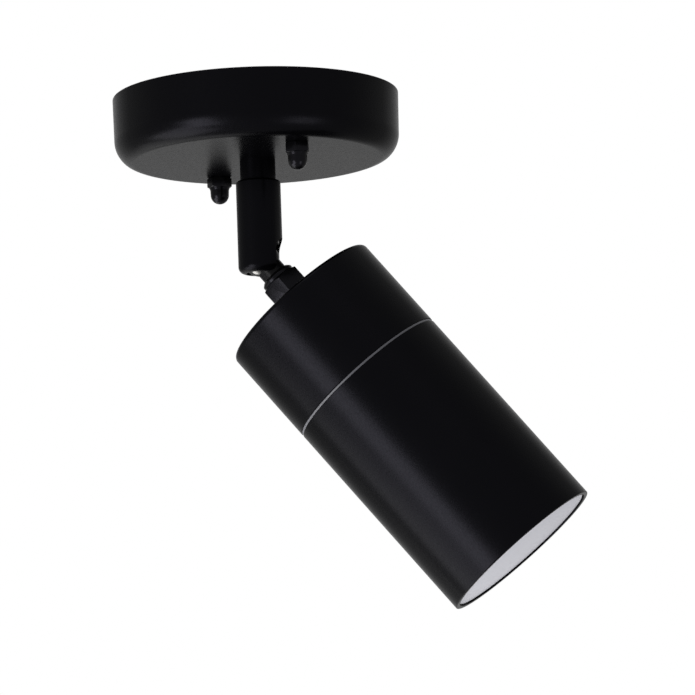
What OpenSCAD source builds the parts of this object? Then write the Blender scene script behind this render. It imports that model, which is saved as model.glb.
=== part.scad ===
// Ceiling spotlight: a round canopy, a neck with a slotted swivel knuckle, and a tilting cylinder head.
// The origin is the middle of the face that meets the ceiling. Z points up, so everything hangs below zero.

/* [Pose] */
// Direction the head leans towards, from the line through the cap nuts
head_turn = 58.6; // [0:0.1:180]
// Lean of the head from straight down
head_tilt = 39.3; // [0:0.1:80]

/* [Canopy] */
// Outer diameter of the canopy at the ceiling
canopy_d = 100; // [94:1:120]
// Height of the canopy
canopy_h = 22.8; // [21:0.1:30]
// Wall of the canopy
canopy_wall = 1.2; // [0.8:0.1:1.6]
// How far the side leans in towards the bottom
canopy_draft = 0.25; // [0:0.05:1]
// Radius of the large curve at the lower edge
canopy_edge_r = 8.9; // [7:0.1:12]
// Angle at which the large curve gives way to the tight one
canopy_edge_sweep = 45; // [30:1:60]
// Radius of the tight curve that meets the flat underside
canopy_heel_r = 5.8; // [2:0.1:7]
// Rounding of the rim at the ceiling
canopy_rim_r = 0.4; // [0.2:0.1:0.6]

/* [Mounting bracket] */
// Width of the bracket strap
bracket_w = 16; // [14:1:20]
// Thickness of the bracket
bracket_t = 1.5; // [1:0.1:2]
// Distance between the two fixing studs
stud_spread = 65.5; // [65:0.5:76]
// How far the ends of the strap step down to clear the stud heads
joggle = 3.2; // [2.6:0.1:4]
// Strap left past each stud
bracket_end = 6; // [5:0.5:7]
// Distance between the two ceiling screw slots
screw_slot_spread = 36; // [35:0.5:37]
// Length of a ceiling screw slot
screw_slot_l = 9.5; // [7:0.5:10]
// Width of a ceiling screw slot
screw_slot_w = 4.6; // [4:0.1:5]
// Width of the tab that carries the terminal block
tab_w = 24; // [22:1:28]
// Width of the ear that carries the earth screw
ear_w = 12; // [10:1:16]
// Distance of the earth screw from the middle
earth_screw_y = 14; // [13:0.5:18]

/* [Studs and cap nuts] */
// Diameter of the fixing studs
stud_d = 4; // [3:0.5:4.5]
// Diameter of a stud head
stud_head_d = 7; // [6:0.1:8]
// Height of a stud head
stud_head_h = 2.2; // [1.6:0.1:2.4]
// Across flats of the nut that locks a stud
stud_nut_af = 7; // [7:0.1:8]
// Height of the nut that locks a stud
stud_nut_h = 3.2; // [2.4:0.1:4]
// Length of stud inside its cap nut
stud_bite = 6; // [4:0.1:6.5]
// Across flats of a cap nut
cap_nut_af = 7.6; // [7:0.1:9]
// Height of a cap nut's hexagon
cap_nut_hex_h = 3.6; // [3:0.1:4.5]
// Height of a whole cap nut
cap_nut_h = 9.5; // [8.5:0.1:11]
// Diameter of a cap nut's dome
cap_nut_dome_d = 6.5; // [6:0.1:7]
// How far round one cap nut ends up from the other
cap_nut_turn = 30; // [0:5:55]

/* [Wiring in the canopy] */
// Height of the terminal block
block_h = 12; // [10:0.5:13]
// Width of the terminal block across its two ways
block_w = 20; // [18:0.5:22]
// Length of the terminal block along its wires
block_l = 15; // [13:0.5:16]
// Distance of the terminal block from the middle
block_y = 13; // [11:0.5:16]
// Distance between the two ways
way_pitch = 10; // [9.5:0.1:11]
// Outer diameter of a brass clamp
clamp_d = 5.2; // [4.8:0.1:5.4]
// Bore of a brass clamp
clamp_bore = 3.2; // [2.6:0.1:3.6]
// Diameter of the small screws in the block
small_screw_d = 3; // [2.5:0.1:3]
// Diameter of the earth screw
earth_screw_d = 4; // [3:0.5:5]
// Thickness of an earth tag
tag_t = 0.8; // [0.5:0.1:1]
// Thickness of the earth washer
earth_washer_t = 0.8; // [0.5:0.1:1]
// Diameter of one insulated wire
wire_d = 1.6; // [1.2:0.1:1.6]
// Outer diameter of the sleeve round the three wires
sleeve_d = 4.4; // [4.2:0.1:4.6]
// Wall of the sleeve
sleeve_wall = 0.3; // [0.2:0.1:0.3]

/* [Neck] */
// Diameter of the neck that shows
neck_d = 12.4; // [12:0.1:14]
// Length of the neck that shows
neck_show = 7.3; // [5:0.1:20]
// Diameter of the neck's thread in the canopy
neck_thread_d = 10; // [9:0.5:11]
// Bore of the neck
neck_bore = 7; // [6.4:0.1:7.2]
// Thread left above the neck nut
neck_spare = 1.6; // [1:0.1:3]
// Across flats of the neck nut
neck_nut_af = 14; // [13:0.5:16]
// Height of the neck nut
neck_nut_h = 3.5; // [3:0.1:4]
// Diameter of the toothed washers
tooth_washer_d = 16; // [15.5:0.5:18]
// Thickness of the toothed washers
tooth_washer_t = 0.8; // [0.6:0.1:1]
// Length of the bush inside the neck
bush_l = 5; // [3:0.5:8]
// Thickness of the bush's flange
bush_flange_t = 1; // [0.8:0.1:1.4]
// Diameter of the spigot that the knuckle turns on
spigot_d = 9.2; // [9:0.1:9.4]

/* [Knuckle] */
// Diameter of the knuckle
knuckle_d = 15.6; // [15.2:0.1:18]
// Length of the knuckle
knuckle_l = 32.6; // [31:0.1:45]
// Thickness of the knuckle's top wall
knuckle_top_t = 4; // [3:0.1:5]
// Bevel at the knuckle's top edge
knuckle_bevel = 0.6; // [0.4:0.1:0.8]
// Rounding at the knuckle's bottom edge
knuckle_heel_r = 2.4; // [1:0.1:2.4]
// Height of the ball's middle above the knuckle's end
ball_up = 5.4; // [5.2:0.1:6]
// Gap between the arm and the sides of its slot
slot_gap = 0.3; // [0.25:0.05:0.5]
// Height of the side slot above the ball's middle
side_slot_rise = 6.8; // [6.2:0.1:8]
// Angle taken up by each of the two turning stops
stop_angle = 12; // [8:1:20]
// Depth of the turning stop's groove
stop_depth = 1; // [0.8:0.1:1.4]
// Thickness of the swivel washer
swivel_washer_t = 0.8; // [0.5:0.1:1]
// Thickness of the retaining ring
retaining_ring_t = 1; // [0.8:0.1:1.2]
// Wire of the seat spring
spring_wire = 1.2; // [0.8:0.1:1.4]
// Turns of the seat spring
spring_turns = 5; // [4:1:5]
// Height of the ball seat
seat_h = 4.6; // [4:0.1:5.2]

/* [Ball and arm] */
// Diameter of the ball
ball_d = 13; // [12.8:0.1:13.2]
// Diameter of the arm where it leaves the ball
shank_d = 9.2; // [8.6:0.1:9.4]
// Diameter of the arm's thread
arm_thread_d = 10; // [9.6:0.1:10.4]
// Bore of the arm
arm_bore = 6; // [5.6:0.1:6.4]
// Width of the wire slot in the ball
wire_slot_w = 5.2; // [5.2:0.1:5.6]
// Gap that the lock ring keeps from the knuckle
swing_gap = 0.3; // [0.2:0.1:0.5]
// Width of the lock ring round the arm's thread
lock_ring_w = 1.2; // [0.8:0.05:1.4]
// Length of the lock ring
lock_ring_l = 2.1; // [1.7:0.1:2.3]
// Across flats of the hex coupler
hex_af = 13.8; // [13.2:0.1:16]
// Height of the arm nut inside the head
arm_nut_h = 3.5; // [3:0.1:4]
// Arm left past the arm nut
arm_spare = 2.2; // [1:0.1:4]

/* [Head] */
// Diameter of the head
head_d = 60; // [58:1:66]
// Distance of the head's rear face from the ball's middle
head_reach = 20.8; // [18:0.1:24]
// Length of the head
head_l = 116.6; // [110:0.1:140]
// Length of the rear cap that shows
cap_l = 35.6; // [34:0.1:45]
// Rounding of the rear edge
cap_edge_r = 1.5; // [1:0.1:3]
// Thickness of the rear cap's floor
cap_floor = 4; // [3:0.1:5]
// Wall of the rear cap
cap_wall = 3; // [2.5:0.1:3.2]
// Length of the threaded collar that the barrel screws onto
collar_l = 8; // [7:0.5:10]
// Wall of the collar
collar_wall = 2.1; // [1.8:0.1:2.2]
// Wall of the front barrel
barrel_wall = 2; // [1.8:0.1:2.2]
// Thickness of the seal in the seam
seam_seal_t = 0.8; // [0.6:0.1:1.2]
// How far the seam seal sits below the outer surface
seam_seal_sink = 0.2; // [0.1:0.1:0.4]

/* [Lens] */
// Wall of the barrel around the lens
lens_rim = 1.6; // [1.2:0.1:1.8]
// Thickness of the lens
lens_t = 3; // [2:0.1:4]
// Depth of the lens's face behind the front edge
lens_sink = 0.7; // [0.3:0.1:1]
// Thickness of the lens gasket
gasket_t = 0.8; // [0.5:0.1:1.2]
// Length of the shelf that the gasket lies on
shelf_l = 2; // [1.5:0.1:3]
// Width of the shelf
shelf_w = 2; // [1.6:0.1:2.4]

/* [Lampholder] */
// Length of the lampholder
holder_l = 17; // [16:0.5:20]
// Diameter of the lampholder
holder_d = 32; // [31:0.5:34]
// Width of the lampholder across its flat sides
holder_w = 21; // [20:0.5:24]
// Thickness of the lampholder's front wall
holder_front_t = 2.5; // [2:0.1:3]
// Depth of the chamber for the contacts
chamber_l = 6.5; // [6:0.1:7]
// Diameter of the chamber
chamber_d = 17.2; // [16.8:0.1:17.6]
// Distance from the cap's floor to the back of the lampholder
holder_stand = 33.7; // [31:0.1:36]
// Thickness of the lampholder's bracket
strap_t = 1.2; // [1:0.1:1.5]
// Width of the lampholder's bracket
strap_w = 12; // [10:1:13]
// Distance between the outer faces of the bracket's legs
strap_span = 33.5; // [33.5:0.5:36]
// Gap between the bracket's feet and the wall of the cap
foot_gap = 0.4; // [0.3:0.1:0.6]
// Height of the bosses in the rear cap
boss_h = 4; // [3:0.1:5]
// Diameter of the bosses
boss_d = 9.4; // [9:0.1:10]
// Distance between the two screws that hold the lampholder
holder_screw_spread = 24; // [23.5:0.1:24]

/* [Lamp] */
// Diameter of the lamp
lamp_d = 50; // [49:0.1:50]
// Length of the lamp from its base face to its front
lamp_l = 46; // [42:0.5:48]
// Distance between the lamp's pins
pin_spread = 10; // [9.8:0.1:10.2]
// Diameter of a pin's stem
pin_d = 3.2; // [3:0.1:3.4]
// Diameter of a pin's head
pin_head_d = 5; // [4.8:0.1:5]
// Height of a pin's head
pin_head_h = 2.1; // [1.8:0.1:2.2]
// Twist that frees the lamp
lamp_twist = 25; // [20:1:30]
// Diameter of the lamp's base
lamp_base_d = 22; // [21:0.5:24]
// Length of the lamp's base
lamp_base_l = 11; // [9:0.5:12]
// Wall of the lamp's body
lamp_wall = 1.6; // [1.2:0.1:2]

/* [Clearances] */
// Running clearance round turning and sliding fits
fit = 0.05; // [0.03:0.01:0.08]
// Gap between faces that turn past each other
turn_gap = 0.1; // [0.05:0.05:0.2]
// Gap round pieces that are dropped into a seat
seat_gap = 0.2; // [0.1:0.05:0.3]

/* [Hidden] */
$fn = 96;

// Depths below the ceiling
canopy_r = canopy_d / 2;
floor_top = canopy_h - canopy_wall;
edge_h = canopy_edge_r * sin(canopy_edge_sweep) + canopy_heel_r * (1 - sin(canopy_edge_sweep));
strap_low = joggle + bracket_t;
stud_end = canopy_h + stud_bite;
block_low = bracket_t + block_h;
block_mid = bracket_t + block_h / 2;
neck_top = floor_top - tooth_washer_t - neck_nut_h - neck_spare;
bush_top = neck_top - bush_flange_t;
sleeve_top = bush_top - 2;
shoulder = canopy_h + neck_show;
knuckle_top = shoulder + turn_gap;
knuckle_ceiling = knuckle_top + knuckle_top_t;
knuckle_end = knuckle_top + knuckle_l;
swivel_washer_top = knuckle_ceiling + turn_gap;
ring_top = swivel_washer_top + swivel_washer_t + turn_gap;
spigot_end = ring_top + retaining_ring_t + 1;
pivot = knuckle_end - ball_up;
seat_top = pivot - shank_d / 2 - 0.3 - seat_h;
spring_top = spigot_end + 0.3;
spring_end = seat_top - turn_gap;

// Heads, slots and nuts of the small screws
pan_d = small_screw_d * 1.85;
pan_h = small_screw_d * 0.73;
pan_slot = small_screw_d * 0.27;
pan_sink = pan_h + 0.4;
small_nut_af = small_screw_d * 1.83;
small_nut_h = small_screw_d * 0.8;

// Widths round the knuckle
side_slot_w = shank_d + 2 * slot_gap;
mouth_d = side_slot_w + 0.4;
knuckle_bore = ball_d + 0.3;
groove_in = spigot_d + 2 * fit + 1.1;
groove_out = neck_d - 0.2;
ring_groove_d = spigot_d - 1;
spring_d = knuckle_bore - spring_wire - 1.7;
tag_ring_d = 1.9 * earth_screw_d;
tag_barrel_d = wire_d + 1.2;
tag_barrel_l = 4;

// Reaches along the arm, from the middle of the ball
lock_ring_d = arm_thread_d + 2 * lock_ring_w;
lock_from = knuckle_d / 2 + swing_gap;
hex_from = lock_from + lock_ring_l + seat_gap;
lead_clear = wire_slot_w / 2;
floor_in = head_reach + cap_floor;
arm_nut_from = floor_in + tooth_washer_t;
arm_end = arm_nut_from + arm_nut_h + arm_spare;
seam = head_reach + cap_l;
barrel_from = seam + seam_seal_t + 2 * turn_gap;
collar_end = seam + collar_l;
head_end = head_reach + head_l;
lens_face = head_end - lens_sink;
lens_back = lens_face - lens_t;
gasket_back = lens_back - gasket_t;
holder_back = floor_in + holder_stand;
holder_face = holder_back + holder_l;
chamber_face = holder_face - holder_front_t;
chamber_back = chamber_face - chamber_l;
foot_from = floor_in + boss_h;
lamp_from = holder_face + 0.3;
lamp_end = lamp_from + lamp_l;
pin_head_face = chamber_face - 0.3;
pin_end = pin_head_face - pin_head_h;

// Widths in the head
cap_bore = head_d - 2 * cap_wall;
barrel_bore = head_d - 2 * barrel_wall;
collar_d = barrel_bore - 2 * fit;
collar_bore = collar_d - 2 * collar_wall;
lens_recess = head_d - 2 * lens_rim;
lens_d = lens_recess - 0.8;
shelf_d = lens_recess - 2 * shelf_w;
toe = sqrt(pow(cap_bore / 2 - foot_gap, 2) - pow(strap_w / 2, 2));
boss_x = toe - pan_d / 2 - 0.3;
boss_y = 16;
wire_hole_x = 6;
core_r = (sleeve_d / 2 - sleeve_wall - wire_d / 2) - 0.1;
wire_rise = 0.6 * block_h;
black = "#1a1a1c";

// Shapes used again and again

function arc(x, y, r, from, to, steps) =
    [for (i = [0:steps]) let (a = from + (to - from) * i / steps) [x + r * cos(a), y + r * sin(a)]];

function unit(v) = v / norm(v);

// The direction of a path at one of its points
function heading(path, i) = unit(path[min(i + 1, len(path) - 1)] - path[max(i - 1, 0)]);

// A smooth bend from a to d that leaves towards b and arrives from c
function bend(a, b, c, d, steps) =
    [for (i = [0:steps]) let (t = i / steps, u = 1 - t)
        u * u * u * a + 3 * u * u * t * b + 3 * u * t * t * c + t * t * t * d];

// The place of one of three wires in its sleeve
function core(turn) = [core_r * cos(turn), core_r * sin(turn), 0];

// A disc, or a ring with a hole, between two depths
module ring(from, to, d, hole = 0) {
    translate([0, 0, -to])
        difference() {
            cylinder(d = d, h = to - from);
            if (hole > 0)
                translate([0, 0, -1])
                    cylinder(d = hole, h = to - from + 2);
        }
}

// A hexagon nut between two depths, with its corners turned off
module hexagon(from, to, af, hole, bevel = 0.4) {
    corner = af / cos(30) / 2;
    height = to - from;
    translate([0, 0, -to])
        difference() {
            intersection() {
                cylinder(r = corner, h = height, $fn = 6);
                rotate_extrude()
                    polygon([[0, 0], [af / 2, 0], [corner + 0.1, bevel], [corner + 0.1, height - bevel],
                        [af / 2, height], [0, height]]);
            }
            translate([0, 0, -1])
                cylinder(d = hole, h = height + 2);
        }
}

// A toothed lock washer between two depths
module toothed_washer(from, to, d, hole) {
    teeth = 12;
    difference() {
        ring(from, to, d, hole);
        for (i = [0:teeth - 1])
            rotate([0, 0, i * 360 / teeth])
                translate([d / 2, 0, -to - 1])
                    cylinder(d = d / 10, h = to - from + 2);
    }
}

// A round tube swept along a path, as flat facets
module swept(path, d, sides, side) {
    last = len(path) - 1;
    points = [for (i = [0:last]) let (t = heading(path, i), a = unit(cross(t, side)), b = cross(t, a))
        for (k = [0:sides - 1]) path[i] + d / 2 * (cos(360 * k / sides) * a + sin(360 * k / sides) * b)];
    start = [for (k = [1:sides - 2]) [0, k, k + 1]];
    finish = [for (k = [1:sides - 2]) [last * sides, last * sides + k + 1, last * sides + k]];
    walls = [for (i = [0:last - 1]) for (k = [0:sides - 1]) for (half = [0, 1])
        let (p = i * sides + k, q = i * sides + (k + 1) % sides)
            half == 0 ? [p, p + sides, q + sides] : [p, q + sides, q]];
    polyhedron(points, concat(start, walls, finish));
}

// An arc-shaped bar: part of a ring between two depths
module ring_part(from, to, d, hole, start, angle) {
    rotate([0, 0, start])
        translate([0, 0, -to])
            rotate_extrude(angle = angle)
                translate([hole / 2, 0])
                    square([(d - hole) / 2, to - from]);
}

// Moves what belongs to the head from hanging straight down to where it points
module aimed() {
    rotate([0, 0, head_turn])
        translate([0, 0, -pivot])
            rotate([0, -head_tilt, 0])
                children();
}

// Sends its children to both studs
module at_studs() {
    for (side = [-1, 1])
        translate([side * stud_spread / 2, 0, 0])
            children();
}

// Canopy and what is fixed in it

// Half outline of the canopy, drawn inwards by an inset
function canopy_outline(inset, rim) =
    let (x = canopy_r - canopy_draft - canopy_edge_r, y = edge_h - canopy_h)
    concat([[0, 0]], arc(canopy_r - inset - rim, -rim, rim, 90, 0, 4),
        arc(x, y, canopy_edge_r - inset, 0, -canopy_edge_sweep, 9),
        arc(x + (canopy_edge_r - canopy_heel_r) * cos(canopy_edge_sweep),
            y - (canopy_edge_r - canopy_heel_r) * sin(canopy_edge_sweep),
            canopy_heel_r - inset, -canopy_edge_sweep, -90, 6),
        [[0, inset - canopy_h]]);

module canopy() {
    color(black)
        difference() {
            rotate_extrude()
                polygon(canopy_outline(0, canopy_rim_r));
            rotate_extrude()
                polygon(canopy_outline(canopy_wall, 0.001));
            ring(floor_top - 1, canopy_h + 1, neck_thread_d + 2 * seat_gap);
            at_studs()
                ring(floor_top - 1, canopy_h + 1, stud_d + 2 * seat_gap);
        }
}

module mounting_bracket() {
    far = stud_spread / 2 + bracket_end;
    step = stud_spread / 2 - stud_head_d / 2 - 2;
    flat = step - joggle;
    turn = bracket_t * tan(22.5);
    tab_end = block_y + block_l + 1;
    ear_end = earth_screw_y + tag_ring_d / 2 + 1;
    color("#b9bcc0")
        difference() {
            union() {
                rotate([90, 0, 0])
                    linear_extrude(bracket_w, center = true)
                        polygon([[-far, -joggle], [-step, -joggle], [-flat, 0], [flat, 0], [step, -joggle],
                            [far, -joggle], [far, -strap_low], [step - turn, -strap_low],
                            [flat - turn, -bracket_t], [turn - flat, -bracket_t],
                            [turn - step, -strap_low], [-far, -strap_low]]);
                translate([-tab_w / 2, -tab_end, -bracket_t])
                    cube([tab_w, tab_end, bracket_t]);
                translate([-ear_w / 2, 0, -bracket_t])
                    cube([ear_w, ear_end, bracket_t]);
            }
            for (side = [-1, 1])
                translate([side * screw_slot_spread / 2, 0, -bracket_t - 1])
                    linear_extrude(bracket_t + 2)
                        screw_slot();
            at_studs()
                ring(joggle - 1, strap_low + 1, stud_d + 2 * fit);
            translate([0, -block_y - block_l / 2, 0])
                ring(-1, bracket_t + 1, small_screw_d + 2 * fit);
            translate([0, earth_screw_y, 0])
                ring(-1, bracket_t + 1, earth_screw_d + 2 * fit);
        }
}

module screw_slot() {
    run = screw_slot_l - screw_slot_w;
    square([run, screw_slot_w], center = true);
    for (side = [-1, 1])
        translate([side * run / 2, 0])
            circle(d = screw_slot_w);
}

module fixing_studs() {
    color("#a9acb0")
        at_studs()
            difference() {
                union() {
                    ring(joggle - stud_head_h, joggle, stud_head_d);
                    ring(joggle, stud_end, stud_d);
                }
                translate([-stud_head_d, -0.5, -joggle + stud_head_h / 2])
                    cube([2 * stud_head_d, 1, stud_head_h]);
            }
}

module stud_lock_nuts() {
    color("#a9acb0")
        at_studs()
            hexagon(strap_low, strap_low + stud_nut_h, stud_nut_af, stud_d + 2 * fit);
}

module cap_nuts() {
    corner = cap_nut_af / cos(30) / 2;
    dome_r = cap_nut_dome_d / 2;
    dome_mid = canopy_h + cap_nut_h - dome_r;
    color(black)
        for (side = [-1, 1])
            translate([side * stud_spread / 2, 0, 0])
                rotate([0, 0, max(side, 0) * cap_nut_turn])
                    difference() {
                        union() {
                            hexagon(canopy_h, canopy_h + cap_nut_hex_h, cap_nut_af, 0.001, 0.5);
                            translate([0, 0, -canopy_h - cap_nut_hex_h - 0.9])
                                cylinder(r1 = dome_r, r2 = cap_nut_af / 2 - 0.05, h = 0.9);
                            ring(canopy_h + cap_nut_hex_h, dome_mid, cap_nut_dome_d);
                            translate([0, 0, -dome_mid])
                                sphere(r = dome_r);
                        }
                        ring(canopy_h - 1, stud_end + 0.3, stud_d + 2 * fit);
                    }
}

// Neck

module neck() {
    stop_w = groove_out - groove_in - 0.2;
    color(black)
        difference() {
            union() {
                ring(neck_top, canopy_h, neck_thread_d);
                ring(canopy_h, shoulder, neck_d);
                ring(shoulder, spigot_end, spigot_d);
                ring_part(shoulder - 0.1, knuckle_top + stop_depth - 0.2, groove_out - 0.1, groove_in + 0.1,
                    head_turn - stop_angle / 2, stop_angle);
            }
            ring(neck_top - 1, spigot_end + 1, neck_bore);
            ring(ring_top - 0.05, ring_top + retaining_ring_t + 0.05, spigot_d + 2, ring_groove_d);
        }
}

module neck_washer() {
    color("#c8c9cc")
        toothed_washer(floor_top - tooth_washer_t, floor_top, tooth_washer_d, neck_thread_d + 2 * fit);
}

module neck_nut() {
    low = floor_top - tooth_washer_t;
    color("#c8c9cc")
        hexagon(low - neck_nut_h, low, neck_nut_af, neck_thread_d + 2 * fit);
}

module neck_bush() {
    color("#e8e6df")
        difference() {
            union() {
                ring(bush_top, neck_top, neck_thread_d - 0.6);
                ring(neck_top, neck_top + bush_l, neck_bore - 2 * fit);
            }
            ring(bush_top - 1, neck_top + bush_l + 1, sleeve_d + 2 * seat_gap);
        }
}

// The sleeve stops above the middle of the ball, so the arm can tilt below it
module neck_sleeve() {
    color("#d9d4c4")
        ring(sleeve_top, pivot - lead_clear, sleeve_d, sleeve_d - 2 * sleeve_wall);
}

// A wire that rises out of the neck and bends over to where it ends
module canopy_wire(turn, mouth, into, rise, run) {
    low = core(turn) - [0, 0, pivot - lead_clear - 0.1];
    start = core(turn) - [0, 0, sleeve_top];
    along = unit(into - mouth);
    swept(concat([low], bend(start, start + [0, 0, rise], mouth - run * along, mouth, 10), [into]),
        wire_d, 8, [mouth[1] > 0 ? 1 : -1, 0, 0]);
}

module live_wire() {
    color("#7a4a2b")
        canopy_wire(-30, [way_pitch / 2, -block_y, -block_mid],
            [way_pitch / 2, -block_y - block_l / 3, -block_mid], wire_rise, block_h / 2);
}

module neutral_wire() {
    color("#3f6fae")
        canopy_wire(210, [-way_pitch / 2, -block_y, -block_mid],
            [-way_pitch / 2, -block_y - block_l / 3, -block_mid], wire_rise, block_h / 2);
}

module earth_wire() {
    depth = bracket_t + tag_barrel_d / 2;
    mouth_y = earth_screw_y - tag_ring_d / 2 - tag_barrel_l - 0.6;
    color("#86a53a")
        canopy_wire(90, [0, mouth_y, -depth], [0, mouth_y + tag_barrel_l / 2, -depth], wire_rise,
            0.65 * tag_barrel_l);
}

module terminal_block() {
    color("#efeee8")
        translate([0, -block_y, 0])
            difference() {
                translate([-block_w / 2, -block_l, -block_low])
                    cube([block_w, block_l, block_h]);
                for (side = [-1, 1]) {
                    // Bore for the clamp and holes for its two screws
                    translate([side * way_pitch / 2, 1, -block_mid])
                        rotate([90, 0, 0])
                            cylinder(d = clamp_d + 2 * fit, h = block_l + 2);
                    for (y = [-block_l / 4, -block_l * 3 / 4])
                        translate([side * way_pitch / 2, y, 0])
                            ring(block_mid, block_low + 1, small_screw_d + 1);
                    // The waist between the ways
                    translate([0, -block_l / 2 + side * block_l / 2, 0])
                        ring(bracket_t - 1, block_low + 1, 2.4);
                }
                translate([0, -block_l / 2, 0]) {
                    ring(0, block_low + 1, small_screw_d + 2 * seat_gap);
                    ring(block_low - pan_sink, block_low + 1, pan_d + 0.6);
                }
            }
}

module terminal_clamps() {
    color("#c9a95c")
        translate([0, -block_y, 0])
            for (side = [-1, 1])
                translate([side * way_pitch / 2, 0, 0])
                    difference() {
                        translate([0, -1, -block_mid])
                            rotate([90, 0, 0])
                                difference() {
                                    cylinder(d = clamp_d, h = block_l - 2);
                                    translate([0, 0, -1])
                                        cylinder(d = clamp_bore, h = block_l);
                                }
                        for (y = [-block_l / 4, -block_l * 3 / 4])
                            translate([0, y, 0])
                                ring(block_mid, block_low + 1, small_screw_d + 2 * fit);
                    }
}

module terminal_screws() {
    color("#b9bcc0")
        translate([0, -block_y, 0])
            for (side = [-1, 1], y = [-block_l / 4, -block_l * 3 / 4])
                translate([side * way_pitch / 2, y, 0])
                    difference() {
                        ring(block_mid + wire_d / 2 + 0.1, block_low - 0.8, small_screw_d);
                        translate([-small_screw_d, -0.3, -block_low])
                            cube([2 * small_screw_d, 0.6, 1.6]);
                    }
}

module block_screw() {
    color("#b9bcc0")
        translate([0, -block_y - block_l / 2, 0])
            pan_screw(seat_gap, block_low - pan_sink);
}

// Crimp tag for an earth wire: a ring, and a barrel that the wire goes into
module tag_plate() {
    difference() {
        union() {
            cylinder(d = tag_ring_d, h = tag_t);
            translate([-1.6, -tag_ring_d / 2 - 1, 0])
                cube([3.2, 2, tag_t]);
        }
        translate([0, 0, -1])
            cylinder(d = earth_screw_d + 2 * fit, h = tag_t + 2);
    }
}

module earth_tag() {
    barrel_end = -tag_ring_d / 2 - 0.6;
    color("#d8c27a")
        translate([0, earth_screw_y, -bracket_t])
            difference() {
                union() {
                    translate([0, 0, -tag_t])
                        tag_plate();
                    translate([0, barrel_end, -tag_barrel_d / 2])
                        rotate([90, 0, 0])
                            cylinder(d = tag_barrel_d, h = tag_barrel_l);
                }
                translate([0, barrel_end - 1, -tag_barrel_d / 2])
                    rotate([90, 0, 0])
                        cylinder(d = wire_d + 2 * fit, h = tag_barrel_l);
            }
}

module earth_washer() {
    low = bracket_t + tag_t + earth_washer_t;
    color("#b9bcc0")
        translate([0, earth_screw_y, 0])
            ring(bracket_t + tag_t, low, earth_screw_d * 2, earth_screw_d + 2 * fit);
}

module earth_screw() {
    low = bracket_t + tag_t + earth_washer_t;
    color("#c9a95c")
        translate([0, earth_screw_y, 0])
            difference() {
                union() {
                    ring(0.2, low, earth_screw_d);
                    ring(low, low + 2.4, earth_screw_d * 1.75);
                }
                translate([-earth_screw_d, -0.4, -low - 3])
                    cube([2 * earth_screw_d, 0.8, 1.8]);
            }
}

// Swivel

module swivel_washer() {
    color("#c8c9cc")
        ring(swivel_washer_top, swivel_washer_top + swivel_washer_t,
            knuckle_bore - 0.7, spigot_d + 2 * fit);
}

module retaining_ring() {
    color("#8f9296")
        difference() {
            ring(ring_top, ring_top + retaining_ring_t, knuckle_bore - 0.9, ring_groove_d + 2 * fit);
            rotate([0, 0, head_turn])
                translate([0, -ring_groove_d / 4, -spigot_end])
                    cube([knuckle_bore, ring_groove_d / 2, 2 * retaining_ring_t + 2]);
        }
}

module knuckle() {
    r = knuckle_d / 2;
    slot_r = side_slot_w / 2;
    slot_mid = pivot - side_slot_rise + slot_r;
    color(black)
        difference() {
            rotate_extrude()
                polygon(concat([[0, -knuckle_top], [r - knuckle_bevel, -knuckle_top],
                    [r, -knuckle_top - knuckle_bevel]],
                    arc(r - knuckle_heel_r, knuckle_heel_r - knuckle_end, knuckle_heel_r, 0, -90, 8),
                    [[0, -knuckle_end]]));
            // Bearing for the neck, and the groove that the neck's stop runs in
            ring(knuckle_top - 1, knuckle_ceiling + 1, spigot_d + 2 * fit);
            ring_part(knuckle_top - 1, knuckle_top + stop_depth, groove_out, groove_in,
                head_turn + 180 + stop_angle / 2, 360 - stop_angle);
            // Bore, round seat for the ball and the opening below it
            ring(knuckle_ceiling, pivot, knuckle_bore);
            translate([0, 0, -pivot])
                sphere(d = ball_d + 2 * fit);
            ring(pivot, knuckle_end + 1, mouth_d);
            // Side slot for the arm
            rotate([0, 0, head_turn]) {
                translate([0, 0, -slot_mid])
                    rotate([0, 90, 0])
                        cylinder(r = slot_r, h = knuckle_d);
                translate([0, -slot_r, -knuckle_end - 1])
                    cube([knuckle_d, side_slot_w, knuckle_end + 1 - slot_mid]);
            }
        }
}

module seat_spring() {
    steps = spring_turns * 12;
    top = spring_top + spring_wire / 2;
    drop = spring_end - spring_wire / 2 - top;
    color("#9a9da1")
        swept([for (i = [0:steps]) let (a = 360 * spring_turns * i / steps)
            [spring_d / 2 * cos(a), spring_d / 2 * sin(a), -top - drop * i / steps]],
            spring_wire, 6, [0, 0, 1]);
}

module ball_seat() {
    color("#202022")
        difference() {
            ring(seat_top, seat_top + seat_h, knuckle_bore - 2 * fit, sleeve_d + 1.6);
            translate([0, 0, -pivot])
                sphere(d = ball_d + 2 * fit);
        }
}

// Arm and head

module ball_arm() {
    color("#3a3a3d")
        aimed()
            difference() {
                union() {
                    sphere(d = ball_d);
                    ring(0, lock_from, shank_d);
                    ring(lock_from, arm_end, arm_thread_d);
                }
                ring(0, arm_end + 1, arm_bore);
                // The slot that lets the wires stay upright while the arm tilts
                cylinder(d = wire_slot_w, h = ball_d);
                rotate([0, 90, 0])
                    cylinder(d = wire_slot_w, h = ball_d);
                translate([0, -wire_slot_w / 2, 0])
                    cube([ball_d, wire_slot_w, ball_d]);
            }
}

module lock_ring() {
    bevel = 0.7 * lock_ring_w;
    color(black)
        aimed()
            rotate_extrude()
                polygon([[arm_thread_d / 2 + fit, -lock_from], [lock_ring_d / 2 - bevel, -lock_from],
                    [lock_ring_d / 2, -lock_from - bevel], [lock_ring_d / 2, -lock_from - lock_ring_l],
                    [arm_thread_d / 2 + fit, -lock_from - lock_ring_l]]);
}

module hex_coupler() {
    color(black)
        aimed()
            rotate([0, 0, 30])
                hexagon(hex_from, head_reach, hex_af, arm_thread_d + 2 * fit, 0.7);
}

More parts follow.
